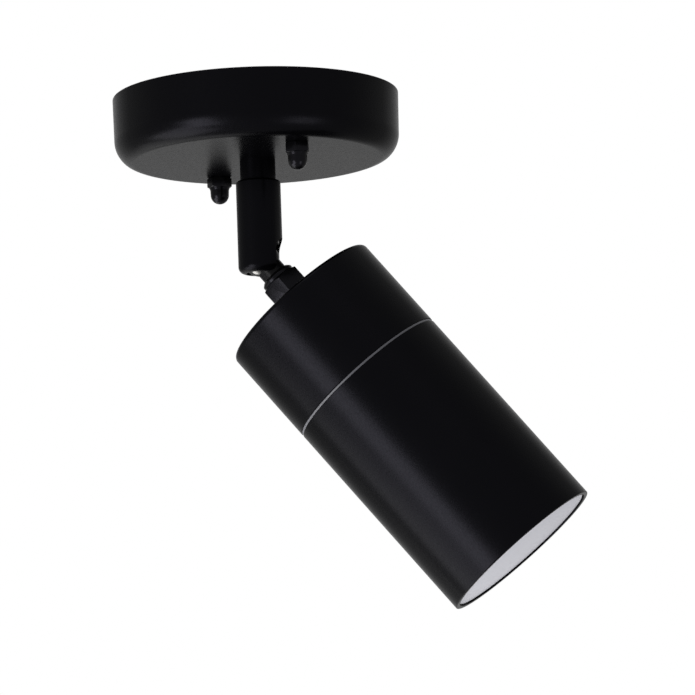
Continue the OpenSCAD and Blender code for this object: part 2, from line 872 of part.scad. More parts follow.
module rear_cap() {
    r = head_d / 2;
    color(black)
        aimed()
            difference() {
                union() {
                    rotate_extrude()
                        polygon(concat([[0, -head_reach]],
                            arc(r - cap_edge_r, -head_reach - cap_edge_r, cap_edge_r, 90, 0, 8),
                            [[r, -seam], [0, -seam]]));
                    ring(seam - 1, collar_end, collar_d);
                }
                // Hollow inside, with the bosses left standing
                difference() {
                    ring(floor_in, seam - 2, cap_bore);
                    for (side = [-1, 1])
                        translate([side * boss_x, 0, 0])
                            ring(floor_in - 1, foot_from, boss_d);
                    translate([0, boss_y, 0])
                        ring(floor_in - 1, foot_from, boss_d);
                }
                ring(seam - 3, collar_end + 1, collar_bore);
                ring(head_reach - 1, floor_in + 1, arm_thread_d + 2 * fit);
                for (side = [-1, 1])
                    translate([side * boss_x, 0, 0])
                        ring(floor_in - 2, foot_from + 1, small_screw_d + 2 * fit);
                translate([0, boss_y, 0])
                    ring(floor_in - 2, foot_from + 1, small_screw_d + 2 * fit);
            }
}

module arm_washer() {
    color("#c8c9cc")
        aimed()
            toothed_washer(floor_in, arm_nut_from, tooth_washer_d, arm_thread_d + 2 * fit);
}

module arm_nut() {
    color("#c8c9cc")
        aimed()
            hexagon(arm_nut_from, arm_nut_from + arm_nut_h, neck_nut_af, arm_thread_d + 2 * fit);
}

module holder_bracket() {
    half = strap_span / 2;
    low = foot_from + strap_t;
    color("#b9bcc0")
        aimed()
            difference() {
                rotate([90, 0, 0])
                    linear_extrude(strap_w, center = true)
                        polygon([[-toe, -foot_from], [-half + strap_t, -foot_from],
                            [-half + strap_t, strap_t - holder_back],
                            [half - strap_t, strap_t - holder_back], [half - strap_t, -foot_from],
                            [toe, -foot_from], [toe, -low], [half, -low],
                            [half, -holder_back], [-half, -holder_back], [-half, -low], [-toe, -low]]);
                for (side = [-1, 1]) {
                    translate([side * boss_x, 0, 0])
                        ring(foot_from - 1, low + 1, small_screw_d + 2 * fit);
                    translate([side * wire_hole_x, 0, 0])
                        ring(holder_back - 3, holder_back + 1, wire_d + 1);
                    translate([side * holder_screw_spread / 2, 0, 0])
                        ring(holder_back - 3, holder_back + 1, small_screw_d + 2 * fit);
                }
            }
}

// A pan screw whose head lies against a face at one depth and whose shank runs back to another
module pan_screw(tip, face) {
    difference() {
        union() {
            ring(tip, face, small_screw_d);
            ring(face, face + pan_h, pan_d);
        }
        translate([-small_screw_d, -pan_slot / 2, -face - 3 * pan_h / 2])
            cube([2 * small_screw_d, pan_slot, pan_h]);
    }
}

module bracket_screws() {
    color("#a9acb0")
        aimed()
            for (side = [-1, 1])
                translate([side * boss_x, 0, 0])
                    pan_screw(floor_in - 1.5, foot_from + strap_t);
}

module lampholder() {
    color("#f0efe9")
        aimed()
            difference() {
                intersection() {
                    ring(holder_back, holder_face, holder_d);
                    translate([-holder_d, -holder_w / 2, -holder_face - 1])
                        cube([2 * holder_d, holder_w, holder_l + 2]);
                }
                ring(chamber_back, chamber_face, chamber_d);
                for (turn = [0, 180]) {
                    // Keyhole for a pin: a round way in, and a narrow arc that locks it
                    rotate([0, 0, turn - lamp_twist])
                        translate([pin_spread / 2, 0, 0])
                            ring(chamber_face - 1, holder_face + 1, pin_head_d + 0.5);
                    ring_part(chamber_face - 1, holder_face + 1, pin_spread + pin_d + 0.5,
                        pin_spread - pin_d - 0.5, turn - lamp_twist, lamp_twist);
                    rotate([0, 0, turn])
                        translate([pin_spread / 2, 0, 0])
                            ring(chamber_face - 1, holder_face + 1, pin_d + 0.5);
                    rotate([0, 0, turn])
                        translate([wire_hole_x, 0, 0])
                            ring(holder_back - 1, chamber_back + 1, wire_d + 1);
                    rotate([0, 0, turn])
                        translate([holder_screw_spread / 2, 0, 0]) {
                            ring(holder_back - 1, holder_face + 1, small_screw_d + 2 * seat_gap);
                            ring(holder_face - pan_sink, holder_face + 1, pan_d + 0.6);
                        }
                }
            }
}

module holder_contacts() {
    strip = tag_t / 2;
    base = chamber_back + strip;
    tip = pin_end - seat_gap;
    near = (pin_spread - pin_d) / 2;
    far = near + pin_head_d * 0.88;
    color("#c98a4b")
        aimed()
            for (turn = [0, 180])
                rotate([0, 0, turn])
                    rotate([90, 0, 0])
                        linear_extrude(pin_head_d * 0.8, center = true)
                            polygon([[near, -chamber_back], [far, -chamber_back], [far, -tip], [near, -tip],
                                [near, strip - tip], [far - strip, strip - tip], [far - strip, -base],
                                [near, -base]]);
}

module holder_screws() {
    color("#a9acb0")
        aimed()
            for (side = [-1, 1])
                translate([side * holder_screw_spread / 2, 0, 0])
                    pan_screw(holder_back - strap_t - small_nut_h - 0.4, holder_face - pan_sink);
}

module holder_nuts() {
    face = holder_back - strap_t;
    color("#a9acb0")
        aimed()
            for (side = [-1, 1])
                translate([side * holder_screw_spread / 2, 0, 0])
                    rotate([0, 0, 30])
                        hexagon(face - small_nut_h, face, small_nut_af, small_screw_d + 2 * fit, 0.3);
}

module head_sleeve() {
    color("#d9d4c4")
        aimed()
            ring(0.5, arm_end + 4, sleeve_d, sleeve_d - 2 * sleeve_wall);
}

// A wire that leaves the arm's sleeve and bends over to where it ends
module head_wire(turn, mouth, into, side) {
    start = core(turn) - [0, 0, arm_end + 4];
    along = unit(into - mouth);
    reach = norm(mouth - start) / 2.5;
    swept(concat([core(turn) - [0, 0, 0.6]],
        bend(start, start - [0, 0, reach], mouth - reach * along, mouth, 10), [into]), wire_d, 8, side);
}

module head_live_wire() {
    color("#7a4a2b")
        aimed()
            head_wire(-30, [wire_hole_x, 0, strap_t + 1 - holder_back],
                [wire_hole_x, 0, 0.6 - chamber_back], [0, 1, 0]);
}

module head_neutral_wire() {
    color("#3f6fae")
        aimed()
            head_wire(210, [-wire_hole_x, 0, strap_t + 1 - holder_back],
                [-wire_hole_x, 0, 0.6 - chamber_back], [0, 1, 0]);
}

// The wire makes a loop forwards and comes back to the tag on its boss
module head_earth_wire() {
    barrel_y = boss_y - tag_ring_d / 2 - 0.9;
    mouth = [0, barrel_y, -foot_from - tag_t - tag_barrel_l];
    start = core(90) - [0, 0, arm_end + 4];
    color("#86a53a")
        aimed()
            swept(concat([core(90) - [0, 0, 0.6]],
                bend(start, start - [0, 0, 9], mouth - [0, 0, 9], mouth, 12), [mouth + [0, 0, 2]]),
                wire_d, 8, [1, 0, 0]);
}

module head_earth_tag() {
    barrel_y = boss_y - tag_ring_d / 2 - 0.9;
    color("#d8c27a")
        aimed()
            difference() {
                union() {
                    translate([0, boss_y, -foot_from - tag_t])
                        tag_plate();
                    translate([0, barrel_y, 0])
                        ring(foot_from, foot_from + tag_t + tag_barrel_l, tag_barrel_d);
                }
                translate([0, barrel_y, 0])
                    ring(foot_from + tag_t + 0.4, foot_from + 10, wire_d + 2 * fit);
            }
}

module head_earth_screw() {
    color("#c9a95c")
        aimed()
            translate([0, boss_y, 0])
                pan_screw(floor_in - 1.5, foot_from + tag_t);
}

// Front barrel, its seal and its lens

module seam_seal() {
    color("#8d8d94")
        aimed()
            ring(seam + turn_gap, barrel_from - turn_gap, head_d - 2 * seam_seal_sink, barrel_bore);
}

module front_barrel() {
    bevel = 0.3;
    r = head_d / 2;
    color(black)
        aimed()
            difference() {
                rotate_extrude()
                    polygon([[0, -barrel_from], [r, -barrel_from], [r, bevel - head_end],
                        [r - bevel, -head_end], [0, -head_end]]);
                ring(barrel_from - 1, gasket_back - shelf_l, barrel_bore);
                ring(gasket_back - shelf_l - 1, gasket_back + 1, shelf_d);
                ring(gasket_back, head_end + 1, lens_recess);
            }
}

module lens_gasket() {
    color("#cfcfd2")
        aimed()
            ring(gasket_back, lens_back, lens_d, shelf_d + 0.4);
}

module lens() {
    color("#c9c9d2")
        aimed()
            ring(lens_back, lens_face, lens_d);
}

module lens_sealant() {
    color("#2a2a2c")
        aimed()
            ring(lens_back, lens_face - 0.2, lens_recess - 2 * fit, lens_d + 2 * fit);
}

// Lamp

module lamp_pins() {
    color("#d7d8da")
        aimed()
            for (side = [-1, 1])
                translate([side * pin_spread / 2, 0, 0]) {
                    ring(pin_end, pin_head_face, pin_head_d);
                    ring(pin_head_face, lamp_from, pin_d);
                }
}

module lamp_base() {
    color("#f2f1ec")
        aimed()
            ring(lamp_from, lamp_from + lamp_base_l, lamp_base_d);
}

module lamp_body() {
    back = lamp_from + lamp_base_l;
    wide = lamp_end - 8.5;
    r = lamp_d / 2;
    small = lamp_base_d / 2 + 1.6;
    color("#dcdcdf")
        aimed()
            rotate_extrude()
                polygon([[0, -back], [small, -back], [r, -wide], [r, -lamp_end], [r - lamp_wall, -lamp_end],
                    [r - lamp_wall, -wide], [small - lamp_wall, -back - 2.4], [0, -back - 2.4]]);
}

module lamp_board() {
    back = lamp_from + lamp_base_l + 2.4;
    wide = lamp_end - 8.5;
    small = lamp_base_d / 2 + 1.6 - lamp_wall;
    share = 0.7;
    edge = small + (lamp_d / 2 - lamp_wall - small) * share;
    board_back = back + (wide - back) * share;
    color("#f4f4f0")
        aimed()
            ring(board_back, board_back + 1.6, 2 * edge - 0.2);
}

module lamp_front() {
    color("#eef0f2")
        aimed()
            ring(lamp_end - 2.8, lamp_end - 0.3, lamp_d - 2 * lamp_wall - 2 * seat_gap);
}

mounting_bracket();
fixing_studs();
stud_lock_nuts();
canopy();
cap_nuts();
neck();
neck_washer();
neck_nut();
neck_bush();
neck_sleeve();
live_wire();
neutral_wire();
earth_wire();
terminal_block();
terminal_clamps();
terminal_screws();
block_screw();
earth_tag();
earth_washer();
earth_screw();
swivel_washer();
retaining_ring();
knuckle();
seat_spring();
ball_seat();
ball_arm();
lock_ring();
hex_coupler();
rear_cap();
arm_washer();
arm_nut();
holder_bracket();
bracket_screws();
lampholder();
holder_contacts();
holder_screws();
holder_nuts();
head_sleeve();
head_live_wire();
head_neutral_wire();
head_earth_wire();
head_earth_tag();
head_earth_screw();
seam_seal();
front_barrel();
lens_gasket();
lens();
lens_sealant();
lamp_pins();
lamp_base();
lamp_body();
lamp_board();
lamp_front();
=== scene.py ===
# Ceiling spotlight: black canopy, short neck, slotted swivel knuckle and a tilting cylinder head
import bpy
import math
from mathutils import Matrix, Vector


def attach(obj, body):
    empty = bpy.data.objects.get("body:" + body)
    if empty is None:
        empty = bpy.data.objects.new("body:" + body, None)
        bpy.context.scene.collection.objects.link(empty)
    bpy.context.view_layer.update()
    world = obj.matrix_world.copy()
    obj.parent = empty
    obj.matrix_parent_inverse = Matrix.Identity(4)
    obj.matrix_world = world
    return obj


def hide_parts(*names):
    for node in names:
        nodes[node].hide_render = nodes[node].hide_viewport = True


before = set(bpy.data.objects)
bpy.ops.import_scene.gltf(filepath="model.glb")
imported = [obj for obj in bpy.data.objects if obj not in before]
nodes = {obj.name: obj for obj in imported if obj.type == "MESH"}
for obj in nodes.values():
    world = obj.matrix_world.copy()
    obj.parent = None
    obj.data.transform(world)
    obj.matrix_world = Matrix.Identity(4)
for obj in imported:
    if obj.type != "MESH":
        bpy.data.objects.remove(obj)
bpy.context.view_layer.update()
scene = bpy.context.scene
scene.view_settings.view_transform = "Standard"
mm = 0.001
print("frame loaded with", len(nodes), "nodes")

# How the head hangs: the ball's middle in mm below the ceiling, and the arm's turn and tilt in degrees
hang = {"turn": 58.6, "tilt": 39.3, "pivot": 57.4}
headPlace = (Matrix.Translation((0, 0, -hang["pivot"] * mm))
             @ Matrix.Rotation(math.radians(hang["turn"]), 4, "Z")
             @ Matrix.Rotation(math.radians(-hang["tilt"]), 4, "Y"))


# Small helpers for modelling

def clearSelection():
    if bpy.context.object and bpy.context.object.mode != "OBJECT":
        bpy.ops.object.mode_set(mode="OBJECT")
    bpy.ops.object.select_all(action="DESELECT")


def choose(piece):
    clearSelection()
    piece.select_set(True)
    bpy.context.view_layer.objects.active = piece


def nameLatest(name):
    piece = bpy.context.object
    piece.name = name
    piece.data.name = name
    return piece


def applyPlace(piece, place=None):
    choose(piece)
    if place is not None:
        piece.matrix_world = place @ piece.matrix_world
    bpy.ops.object.transform_apply(location=True, rotation=True, scale=True)


def roundCorner(x, z, radius, startAngle, endAngle, steps):
    # Points of an arc in an outline, given by its centre
    turns = [math.radians(startAngle + (endAngle - startAngle) * i / steps) for i in range(steps + 1)]
    return [(x + radius * math.cos(t), z + radius * math.sin(t)) for t in turns]


def heldFlat(outline, closed, edge=0.25):
    # Extra rings near the ends of long runs keep flat faces flat when they are shaded smooth
    full = []
    pairs = list(zip(outline, outline[1:] + outline[:1] if closed else outline[1:]))
    for (r0, z0), (r1, z1) in pairs:
        full.append((r0, z0))
        run = math.hypot(r1 - r0, z1 - z0)
        if run > 4 * edge:
            for share in (edge / run, 1 - edge / run):
                full.append((r0 + (r1 - r0) * share, z0 + (z1 - z0) * share))
    if not closed:
        full.append(outline[-1])
    return full


def turnPiece(name, outline, sides, closed=True):
    # A circle drawn out ring by ring along a half outline of (radius, height) in mm.
    # A closed outline goes right round a wall, an open one starts and ends with a flat disc.
    rings = heldFlat(outline, closed)
    clearSelection()
    bpy.ops.mesh.primitive_circle_add(vertices=sides, radius=rings[0][0] * mm,
                                      location=(0, 0, rings[0][1] * mm),
                                      fill_type="NOTHING" if closed else "NGON")
    piece = nameLatest(name)
    applyPlace(piece)
    bpy.ops.object.mode_set(mode="EDIT")
    bpy.ops.mesh.select_all(action="SELECT")
    for (r0, z0), (r1, z1) in zip(rings, rings[1:]):
        if closed:
            bpy.ops.mesh.extrude_edges_move()
        else:
            bpy.ops.mesh.extrude_region_move()
        bpy.ops.transform.resize(value=(r1 / r0, r1 / r0, 1), center_override=(0, 0, 0))
        bpy.ops.transform.translate(value=(0, 0, (z1 - z0) * mm))
    if closed:
        bpy.ops.mesh.select_all(action="DESELECT")
        bpy.ops.mesh.select_mode(type="EDGE")
        bpy.ops.mesh.select_non_manifold()
        bpy.ops.mesh.bridge_edge_loops()
    bpy.ops.mesh.select_all(action="SELECT")
    bpy.ops.mesh.normals_make_consistent(inside=False)
    bpy.ops.mesh.select_mode(type="VERT")
    bpy.ops.object.mode_set(mode="OBJECT")
    return piece


def useModifier(piece, kind, **settings):
    choose(piece)
    modifier = piece.modifiers.new(kind.lower(), kind)
    for key, value in settings.items():
        setattr(modifier, key, value)
    bpy.ops.object.modifier_apply(modifier=modifier.name)


def cutWith(piece, cutter, operation="DIFFERENCE"):
    useModifier(piece, "BOOLEAN", operation=operation, object=cutter, solver="EXACT")
    bpy.data.objects.remove(cutter, do_unlink=True)


def drillHole(piece, radius, depth, middle, sides=32, rotation=(0, 0, 0)):
    # A round hole, with its radius, depth and middle in mm
    bpy.ops.mesh.primitive_cylinder_add(vertices=sides, radius=radius * mm, depth=depth * mm,
                                        location=tuple(value * mm for value in middle), rotation=rotation)
    cutWith(piece, bpy.context.object)


def makeBox(name, size, middle, place=None):
    clearSelection()
    bpy.ops.mesh.primitive_cube_add(size=1, location=tuple(value * mm for value in middle))
    box = nameLatest(name)
    box.scale = tuple(value * mm for value in size)
    applyPlace(box, place)
    return box


def softenEdges(piece, width, segments, angle):
    useModifier(piece, "BEVEL", width=width * mm, segments=segments, limit_method="ANGLE",
                angle_limit=math.radians(angle), harden_normals=False, use_clamp_overlap=True)


def finish(piece, material, body, *replaced, place=None, smooth=35):
    # Puts a piece in its place, gives it its finish and lets it ride on its body
    applyPlace(piece, place)
    bpy.ops.object.shade_smooth_by_angle(angle=math.radians(smooth))
    piece.data.materials.clear()
    piece.data.materials.append(material)
    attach(piece, body)
    if replaced:
        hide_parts(*replaced)
    return piece


# Shared effects, as node groups

def newGroup(name, inputs, outputs):
    group = bpy.data.node_groups.new(name, "ShaderNodeTree")
    for label, kind, value in inputs:
        socket = group.interface.new_socket(name=label, in_out="INPUT", socket_type=kind)
        if value is not None:
            socket.default_value = value
    for label, kind in outputs:
        group.interface.new_socket(name=label, in_out="OUTPUT", socket_type=kind)
    return group, group.nodes.new("NodeGroupInput"), group.nodes.new("NodeGroupOutput")


def noise(tree, scale=None, detail=2.0, roughness=0.5):
    node = tree.nodes.new("ShaderNodeTexNoise")
    node.inputs["Detail"].default_value = detail
    node.inputs["Roughness"].default_value = roughness
    if scale is not None:
        node.inputs["Scale"].default_value = scale
    return node


def makeCoatGrain():
    # Fine orange peel of a powder coat, with slow clouds
    tree, source, result = newGroup(
        "coatGrain",
        [("Vector", "NodeSocketVector", None), ("Grain", "NodeSocketFloat", 2600.0),
         ("Depth", "NodeSocketFloat", 0.12)],
        [("Grain", "NodeSocketFloat"), ("Clouds", "NodeSocketFloat"), ("Normal", "NodeSocketVector")])
    links = tree.links
    fine = noise(tree, detail=3.0, roughness=0.6)
    links.new(source.outputs["Vector"], fine.inputs["Vector"])
    links.new(source.outputs["Grain"], fine.inputs["Scale"])
    clouds = noise(tree, scale=38.0, detail=3.0, roughness=0.55)
    links.new(source.outputs["Vector"], clouds.inputs["Vector"])
    bump = tree.nodes.new("ShaderNodeBump")
    bump.inputs["Distance"].default_value = 0.0001
    links.new(source.outputs["Depth"], bump.inputs["Strength"])
    links.new(fine.outputs["Fac"], bump.inputs["Height"])
    links.new(fine.outputs["Fac"], result.inputs["Grain"])
    links.new(clouds.outputs["Fac"], result.inputs["Clouds"])
    links.new(bump.outputs["Normal"], result.inputs["Normal"])
    return tree


def makeTurnedMarks():
    # Rings left by a lathe: noise that changes with the distance from the axis and along it
    tree, source, result = newGroup(
        "turnedMarks",
        [("Vector", "NodeSocketVector", None), ("Pitch", "NodeSocketFloat", 9000.0),
         ("Depth", "NodeSocketFloat", 0.1)],
        [("Marks", "NodeSocketFloat"), ("Stain", "NodeSocketFloat"), ("Normal", "NodeSocketVector")])
    links = tree.links
    split = tree.nodes.new("ShaderNodeSeparateXYZ")
    links.new(source.outputs["Vector"], split.inputs["Vector"])
    flat = tree.nodes.new("ShaderNodeCombineXYZ")
    links.new(split.outputs["X"], flat.inputs["X"])
    links.new(split.outputs["Y"], flat.inputs["Y"])
    radius = tree.nodes.new("ShaderNodeVectorMath")
    radius.operation = "LENGTH"
    links.new(flat.outputs["Vector"], radius.inputs[0])
    ringPlace = tree.nodes.new("ShaderNodeCombineXYZ")
    links.new(radius.outputs["Value"], ringPlace.inputs["X"])
    links.new(split.outputs["Z"], ringPlace.inputs["Y"])
    marks = noise(tree, detail=2.0)
    links.new(ringPlace.outputs["Vector"], marks.inputs["Vector"])
    links.new(source.outputs["Pitch"], marks.inputs["Scale"])
    stain = noise(tree, scale=160.0, detail=4.0, roughness=0.6)
    links.new(source.outputs["Vector"], stain.inputs["Vector"])
    bump = tree.nodes.new("ShaderNodeBump")
    bump.inputs["Distance"].default_value = 0.00005
    links.new(source.outputs["Depth"], bump.inputs["Strength"])
    links.new(marks.outputs["Fac"], bump.inputs["Height"])
    links.new(marks.outputs["Fac"], result.inputs["Marks"])
    links.new(stain.outputs["Fac"], result.inputs["Stain"])
    links.new(bump.outputs["Normal"], result.inputs["Normal"])
    return tree


coatGrain = makeCoatGrain()
turnedMarks = makeTurnedMarks()


def newMaterial(name):
    material = bpy.data.materials.new(name)
    material.use_nodes = True
    tree = material.node_tree
    shader = tree.nodes["Principled BSDF"]
    return material, tree, shader


def placeInput(tree, where=None):
    # Object coordinates, turned and moved onto a piece's own axis where a pattern needs it
    coordinates = tree.nodes.new("ShaderNodeTexCoord")
    if where is None:
        return coordinates.outputs["Object"]
    mapping = tree.nodes.new("ShaderNodeMapping")
    mapping.vector_type = "TEXTURE"
    mapping.inputs["Location"].default_value = where.to_translation()
    mapping.inputs["Rotation"].default_value = where.to_euler()
    tree.links.new(coordinates.outputs["Object"], mapping.inputs["Vector"])
    return mapping.outputs["Vector"]


def useGroup(tree, group, vector, **values):
    node = tree.nodes.new("ShaderNodeGroup")
    node.node_tree = group
    tree.links.new(vector, node.inputs["Vector"])
    for key, value in values.items():
        node.inputs[key].default_value = value
    return node


def blendColours(tree, mask, dark, light):
    ramp = tree.nodes.new("ShaderNodeValToRGB")
    ramp.color_ramp.elements[0].color = (*dark, 1)
    ramp.color_ramp.elements[1].color = (*light, 1)
    tree.links.new(mask, ramp.inputs["Fac"])
    return ramp.outputs["Color"]


def spread(tree, value, low, high, fromLow=0.3, fromHigh=0.7):
    node = tree.nodes.new("ShaderNodeMapRange")
    node.inputs["From Min"].default_value = fromLow
    node.inputs["From Max"].default_value = fromHigh
    node.inputs["To Min"].default_value = low
    node.inputs["To Max"].default_value = high
    tree.links.new(value, node.inputs["Value"])
    return node.outputs["Result"]


def fadeSheen(tree, shader, face, edge):
    # A matt coat throws back less at a glancing look than smooth plastic does
    facing = tree.nodes.new("ShaderNodeLayerWeight")
    facing.inputs["Blend"].default_value = 0.5
    sheen = spread(tree, facing.outputs["Facing"], face, edge, 0.1, 0.55)
    tree.links.new(sheen, shader.inputs["Specular IOR Level"])


def coatMaterial(name, dark, light, roughness, grain, depth, specular=0.5, edge=None, tint=(1, 1, 1)):
    material, tree, shader = newMaterial(name)
    texture = useGroup(tree, coatGrain, placeInput(tree), Grain=grain, Depth=depth)
    tree.links.new(blendColours(tree, texture.outputs["Clouds"], dark, light), shader.inputs["Base Color"])
    matt = spread(tree, texture.outputs["Grain"], roughness[0], roughness[1])
    tree.links.new(matt, shader.inputs["Roughness"])
    tree.links.new(texture.outputs["Normal"], shader.inputs["Normal"])
    shader.inputs["Specular IOR Level"].default_value = specular
    shader.inputs["Specular Tint"].default_value = (*tint, 1)
    if edge is not None:
        fadeSheen(tree, shader, specular, edge)
    return material


def metalMaterial(name, dark, light, roughness, pitch, depth):
    material, tree, shader = newMaterial(name)
    texture = useGroup(tree, turnedMarks, placeInput(tree), Pitch=pitch, Depth=depth)
    tree.links.new(blendColours(tree, texture.outputs["Stain"], dark, light), shader.inputs["Base Color"])
    matt = spread(tree, texture.outputs["Marks"], roughness[0], roughness[1])
    tree.links.new(matt, shader.inputs["Roughness"])
    tree.links.new(texture.outputs["Normal"], shader.inputs["Normal"])
    shader.inputs["Metallic"].default_value = 1.0
    return material


blackCoat = coatMaterial("blackCoat", (0.0006, 0.0006, 0.0008), (0.0012, 0.0012, 0.0015), (0.24, 0.33),
                         1300.0, 0.2, specular=0.045, edge=0.0128, tint=(0.84, 0.82, 1.0))
glossCoat = coatMaterial("glossCoat", (0.001, 0.001, 0.0012), (0.002, 0.002, 0.0022), (0.2, 0.28),
                         1500.0, 0.14, specular=0.08, edge=0.027, tint=(0.86, 0.84, 1.0))
zincSteel = metalMaterial("zincSteel", (0.5, 0.5, 0.5), (0.66, 0.66, 0.67), (0.3, 0.42), 4000.0, 0.06)


# A bright bare-metal patch on the ball, partly wear and partly a painted highlight: its centre, size, fade
# and colours in mm
wearAndGlint = {"spot": (-4.4, -3.5, -3.3), "radius": 1.8, "fade": 0.6, "ragged": 1.2,
        "dark": (0.12, 0.118, 0.112), "light": (0.25, 0.245, 0.235)}


def armMaterial():
    # The arm and its ball are blackened. Low on one side the ball has a bright bare-metal patch, partly
    # wear and partly a painted highlight.
    material, tree, shader = newMaterial("armSteel")
    texture = useGroup(tree, turnedMarks, placeInput(tree, headPlace), Pitch=9000.0, Depth=0.16)
    wornGlintSpot = Matrix.Translation((0, 0, -hang["pivot"] * mm)) @ headPlace.to_3x3().to_4x4()
    reach = tree.nodes.new("ShaderNodeVectorMath")
    reach.operation = "DISTANCE"
    tree.links.new(placeInput(tree, wornGlintSpot), reach.inputs[0])
    reach.inputs[1].default_value = Vector(wearAndGlint["spot"]) * mm
    ragged = tree.nodes.new("ShaderNodeMath")
    ragged.operation = "MULTIPLY_ADD"
    tree.links.new(texture.outputs["Stain"], ragged.inputs[0])
    ragged.inputs[1].default_value = wearAndGlint["ragged"] * mm
    tree.links.new(reach.outputs["Value"], ragged.inputs[2])
    # Mask of the painted highlight and wear: one inside the patch, fading out past its edge
    wornGlint = spread(tree, ragged.outputs["Value"], 1.0, 0.0, wearAndGlint["radius"] * mm,
                  (wearAndGlint["radius"] + wearAndGlint["fade"]) * mm)
    wornGlintColour = blendColours(tree, texture.outputs["Stain"], wearAndGlint["dark"], wearAndGlint["light"])
    mix = tree.nodes.new("ShaderNodeMix")
    mix.data_type = "RGBA"
    mix.inputs["A"].default_value = (0.003, 0.003, 0.0034, 1)
    tree.links.new(wornGlint, mix.inputs["Factor"])
    tree.links.new(wornGlintColour, mix.inputs["B"])
    tree.links.new(mix.outputs["Result"], shader.inputs["Base Color"])
    tree.links.new(wornGlint, shader.inputs["Metallic"])
    tree.links.new(spread(tree, texture.outputs["Marks"], 0.24, 0.36), shader.inputs["Roughness"])
    tree.links.new(texture.outputs["Normal"], shader.inputs["Normal"])
    fadeSheen(tree, shader, 0.045, 0.018)
    return material


armSteel = armMaterial()
springSteel = metalMaterial("springSteel", (0.24, 0.24, 0.25), (0.4, 0.4, 0.41), (0.25, 0.4), 6000.0, 0.08)
brass = metalMaterial("brass", (0.66, 0.46, 0.18), (0.82, 0.62, 0.3), (0.22, 0.36), 5000.0, 0.08)
nylon = coatMaterial("nylon", (0.7, 0.68, 0.62), (0.8, 0.78, 0.73), (0.38, 0.5), 900.0, 0.05)
blackPlastic = coatMaterial("blackPlastic", (0.004, 0.004, 0.004), (0.009, 0.009, 0.009), (0.45, 0.55),
                            1200.0, 0.08)
whitePlastic = coatMaterial("whitePlastic", (0.76, 0.76, 0.73), (0.84, 0.84, 0.81), (0.34, 0.46),
                            1200.0, 0.05)
sleeveCloth = coatMaterial("sleeveCloth", (0.02, 0.018, 0.014), (0.05, 0.046, 0.04), (0.6, 0.8),
                           5200.0, 0.5)
brownWire = coatMaterial("brownWire", (0.11, 0.04, 0.018), (0.16, 0.065, 0.03), (0.36, 0.5), 1500.0, 0.05)
blueWire = coatMaterial("blueWire", (0.02, 0.08, 0.32), (0.035, 0.12, 0.42), (0.36, 0.5), 1500.0, 0.05)
greenWire = coatMaterial("greenWire", (0.1, 0.26, 0.02), (0.5, 0.48, 0.02), (0.36, 0.5), 1500.0, 0.05)
sealRubber = coatMaterial("sealRubber", (0.03, 0.03, 0.036), (0.05, 0.05, 0.06), (0.5, 0.62), 2000.0, 0.1)
sealant = coatMaterial("sealant", (0.004, 0.004, 0.004), (0.009, 0.009, 0.009), (0.3, 0.5), 900.0, 0.25)
lampPlastic = coatMaterial("lampPlastic", (0.74, 0.74, 0.75), (0.82, 0.82, 0.83), (0.3, 0.42), 1200.0, 0.05)
boardCoat = coatMaterial("boardCoat", (0.8, 0.8, 0.77), (0.88, 0.88, 0.85), (0.3, 0.45), 1400.0, 0.06)
lensFrost = coatMaterial("lensFrost", (0.5, 0.5, 0.55), (0.54, 0.54, 0.59), (0.42, 0.55), 3000.0, 0.12)

materialOf = {
    "mounting_bracket": zincSteel, "fixing_studs": zincSteel, "stud_lock_nuts": zincSteel,
    "canopy": blackCoat, "cap_nuts": glossCoat, "neck": blackCoat, "neck_washer": zincSteel,
    "neck_nut": zincSteel, "neck_bush": nylon, "neck_sleeve": sleeveCloth, "live_wire": brownWire,
    "neutral_wire": blueWire, "earth_wire": greenWire, "terminal_block": whitePlastic,
    "terminal_clamps": brass, "terminal_screws": zincSteel, "block_screw": zincSteel,
    "earth_tag": brass, "earth_washer": zincSteel, "earth_screw": brass, "swivel_washer": zincSteel,
    "retaining_ring": springSteel, "knuckle": blackCoat, "seat_spring": springSteel,
    "ball_seat": blackPlastic, "ball_arm": armSteel, "lock_ring": glossCoat,
    "hex_coupler": blackCoat, "rear_cap": blackCoat, "arm_washer": zincSteel, "arm_nut": zincSteel,
    "holder_bracket": zincSteel, "bracket_screws": zincSteel, "lampholder": whitePlastic,
    "holder_contacts": brass, "holder_screws": zincSteel, "holder_nuts": zincSteel,
    "head_sleeve": sleeveCloth, "head_live_wire": brownWire, "head_neutral_wire": blueWire,
    "head_earth_wire": greenWire, "head_earth_tag": brass, "head_earth_screw": brass,
    "seam_seal": sealRubber, "front_barrel": blackCoat, "lens_gasket": sealRubber,
    "lens": lensFrost, "lens_sealant": sealant, "lamp_pins": zincSteel, "lamp_base": lampPlastic,
    "lamp_body": lampPlastic, "lamp_board": boardCoat, "lamp_front": lensFrost,
}
for nodeName, node in nodes.items():
    node.data.materials.clear()
    node.data.materials.append(materialOf[nodeName])
print("materials made")

# Pieces of the canopy

canopy = {"radius": 50.0, "height": 22.8, "wall": 1.2, "draft": 0.25, "edge": 8.9, "heel": 5.8, "sweep": 45,
          "rim": 0.4, "neckHole": 5.2, "studPlace": 32.75, "studHole": 2.2}


def canopyOutline(inset, rim):
    # From the rim at the ceiling, down the side and round the lower edge, towards the middle
    sweep = math.radians(canopy["sweep"])
    edgeHeight = canopy["edge"] * math.sin(sweep) + canopy["heel"] * (1 - math.sin(sweep))
    x, z = canopy["radius"] - canopy["draft"] - canopy["edge"], edgeHeight - canopy["height"]
    step = canopy["edge"] - canopy["heel"]
    return (roundCorner(canopy["radius"] - inset - rim, -rim, rim, 90, 0, 4)
            + roundCorner(x, z, canopy["edge"] - inset, 0, -canopy["sweep"], 14)
            + roundCorner(x + step * math.cos(sweep), z - step * math.sin(sweep), canopy["heel"] - inset,
                          -canopy["sweep"], -90, 12)[1:])


